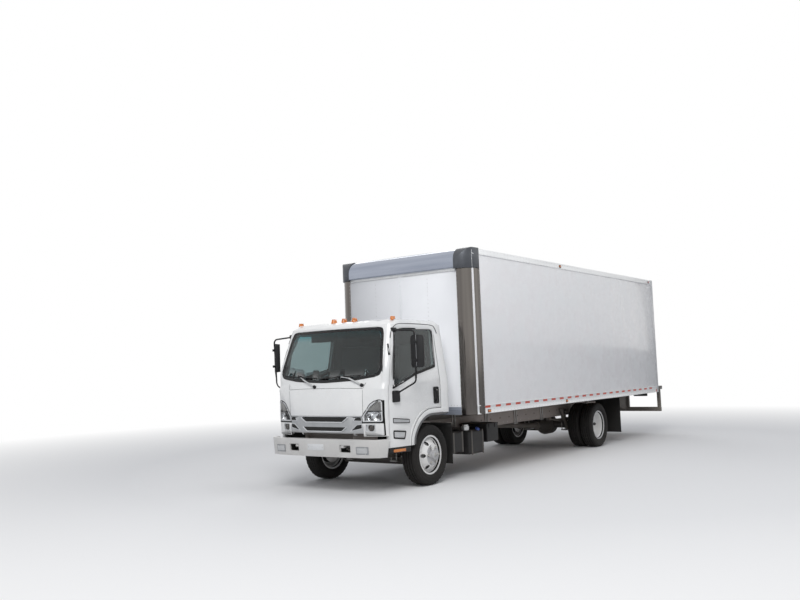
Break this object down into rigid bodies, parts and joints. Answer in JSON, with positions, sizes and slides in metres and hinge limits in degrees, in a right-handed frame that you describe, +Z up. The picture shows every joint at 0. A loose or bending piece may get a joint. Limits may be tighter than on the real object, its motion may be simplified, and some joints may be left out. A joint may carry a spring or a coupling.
{
  "type": "box truck",
  "caption": "Cab-forward box truck with a riveted freight body, dual rear wheels, a roll-up rear door and a tilting cab.",
  "frame": {"origin": "on the ground, midway between the front bumper and the rear step, on the centre line", "axes": "+X forward, +Y to the truck's left, +Z up"},
  "size_m": [9.79, 2.6696, 3.2999],
  "materials": {
    "white_paint": "glossy",
    "glass": "clear",
    "black_plastic": "satin",
    "grey_plastic": "satin",
    "lamp_clear": "clear lens",
    "lamp_amber": "clear lens",
    "seat_cloth": "woven",
    "cast_iron": "painted",
    "steel": "machined",
    "white_steel": "glossy",
    "tyre": "matte",
    "frame_paint": "matte",
    "aluminium": "satin",
    "polished_steel": "polished",
    "wood": "oiled",
    "galvanised": "zinc coated",
    "rubber": "matte"
  },
  "bodies": {
    "chassis": {"chassis_frame": "frame_paint", "front_axle": "cast_iron", "rear_axle": "cast_iron", "leaf_springs": "cast_iron", "engine_block": "cast_iron", "propeller_shaft": "steel", "front_bumper": "white_paint", "floor_sills": "wood", "side_walls": "white_paint", "side_rails": "aluminium", "roof": "aluminium", "corner_posts": "polished_steel", "front_wall": "white_paint", "nose_cap": "aluminium", "corner_caps": "aluminium", "rear_frame": "polished_steel", "rear_door": "white_paint", "rear_step": "galvanised", "fuel_tank": "aluminium", "reductant_tank": "black_plastic", "air_and_battery": "black_plastic", "exhaust": "steel", "mud_flaps": "rubber"},
    "cab": {"cab_shell": "white_paint", "cab_glass": "glass", "grille": "grey_plastic", "headlamps": "lamp_clear", "roof_lamps": "lamp_amber", "cab_steps": "black_plastic", "dashboard": "grey_plastic", "seats": "seat_cloth"},
    "door_left": {"door_left": "white_paint", "door_glass_left": "glass", "mirror_left": "black_plastic"},
    "door_right": {"door_right": "white_paint", "door_glass_right": "glass", "mirror_right": "black_plastic"},
    "steering_wheel": {"steering_wheel": "black_plastic"},
    "knuckle_left": {"knuckle_left": "cast_iron"},
    "knuckle_right": {"knuckle_right": "cast_iron"},
    "tie_rod": {"tie_rod": "steel"},
    "wheel_front_left": {"wheel_front_left": "white_steel", "tyre_front_left": "tyre"},
    "wheel_front_right": {"wheel_front_right": "white_steel", "tyre_front_right": "tyre"},
    "wheel_rear_left": {"wheel_rear_left": "white_steel", "tyres_rear_left": "tyre"},
    "wheel_rear_right": {"wheel_rear_right": "white_steel", "tyres_rear_right": "tyre"}
  },
  "joints": [
    {"name": "cab_tilt", "type": "hinge", "parent": "chassis", "child": "cab", "pos_m": [4.665, 0, 0.76], "axis": [0, 1, 0], "range_deg": [0, 45]},
    {"name": "door_left_swing", "type": "hinge", "parent": "cab", "child": "door_left", "pos_m": [4.632, 1, 1], "axis": [0, 0, -1], "range_deg": [0, 70]},
    {"name": "door_right_swing", "type": "hinge", "parent": "cab", "child": "door_right", "pos_m": [4.632, -1, 1], "axis": [0, 0, 1], "range_deg": [0, 70]},
    {"name": "steer_left", "type": "hinge", "parent": "chassis", "child": "knuckle_left", "pos_m": [3.715, 0.74, 0.405], "axis": [0, 0, 1], "range_deg": [-35, 35]},
    {"name": "steer_right", "type": "hinge", "parent": "chassis", "child": "knuckle_right", "pos_m": [3.715, -0.74, 0.405], "axis": [0, 0, 1], "range_deg": [-35, 35]},
    {"name": "tie_rod_pin", "type": "hinge", "parent": "knuckle_left", "child": "tie_rod", "pos_m": [3.565, 0.74, 0.285], "axis": [0, 0, 1], "range_deg": [-35, 35]},
    {"name": "steering_wheel_turn", "type": "hinge", "parent": "cab", "child": "steering_wheel", "pos_m": [4.195, 0.52, 1.4], "axis": [-0.5299, 0, 0.848], "range_deg": [-700, 700]},
    {"name": "spin_front_left", "type": "hinge", "parent": "knuckle_left", "child": "wheel_front_left", "pos_m": [3.715, 0.875, 0.405], "axis": [0, 1, 0], "continuous": true},
    {"name": "spin_front_right", "type": "hinge", "parent": "knuckle_right", "child": "wheel_front_right", "pos_m": [3.715, -0.875, 0.405], "axis": [0, 1, 0], "continuous": true},
    {"name": "spin_rear_left", "type": "hinge", "parent": "chassis", "child": "wheel_rear_left", "pos_m": [-1.67, 0.977, 0.405], "axis": [0, 1, 0], "continuous": true},
    {"name": "spin_rear_right", "type": "hinge", "parent": "chassis", "child": "wheel_rear_right", "pos_m": [-1.67, -0.977, 0.405], "axis": [0, 1, 0], "continuous": true}
  ],
  "couplings": [
    {"joint": "steer_right", "follows": "steer_left", "ratio": 1},
    {"joint": "tie_rod_pin", "follows": "steer_left", "ratio": -1},
    {"joint": "steering_wheel_turn", "follows": "steer_left", "ratio": 20}
  ]
}
